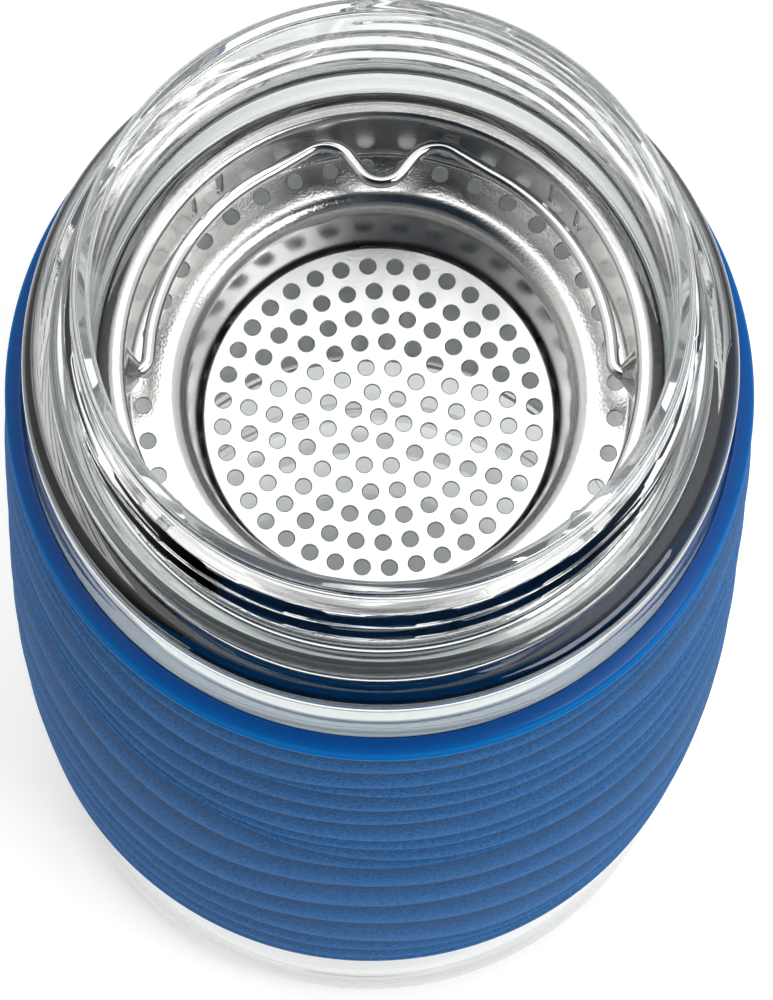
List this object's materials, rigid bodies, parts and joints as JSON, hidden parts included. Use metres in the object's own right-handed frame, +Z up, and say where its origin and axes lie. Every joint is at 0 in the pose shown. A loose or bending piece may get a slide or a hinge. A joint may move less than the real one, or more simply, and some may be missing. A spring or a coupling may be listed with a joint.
{
  "type": "thermal tea mug",
  "caption": "Tall double-walled clear glass tea mug with a ridged blue silicone sleeve, a screw neck and a lift-out perforated steel strainer with a wire handle.",
  "frame": {"origin": "middle of the foot, on the surface the mug stands on", "axes": "+Z up along the mug's axis; +X along the strainer handle's pivot axis; the handle lies folded towards +Y"},
  "size_m": [0.0812, 0.0812, 0.174],
  "materials": {
    "clear_glass": "clear, polished",
    "clear_silicone": "translucent, matt",
    "blue_silicone": "matt, glossy at the lip",
    "polished_steel": "bright, drawn",
    "satin_steel": "satin"
  },
  "bodies": {
    "mug": {"outer_glass": "clear_glass", "inner_glass": "clear_glass", "base_plug": "clear_silicone", "silicone_sleeve": "blue_silicone"},
    "strainer": {"strainer_basket": "polished_steel", "strainer_floor": "satin_steel"},
    "handle": {"strainer_handle": "polished_steel"}
  },
  "joints": [
    {"name": "strainer_lift", "type": "slide", "parent": "mug", "child": "strainer", "axis": [0, 0, 1], "range_m": [0, 0.06]},
    {"name": "handle_swing", "type": "hinge", "parent": "strainer", "child": "handle", "pos_m": [0, 0, 0.1435], "axis": [1, 0, 0], "range_deg": [0, 180]}
  ]
}
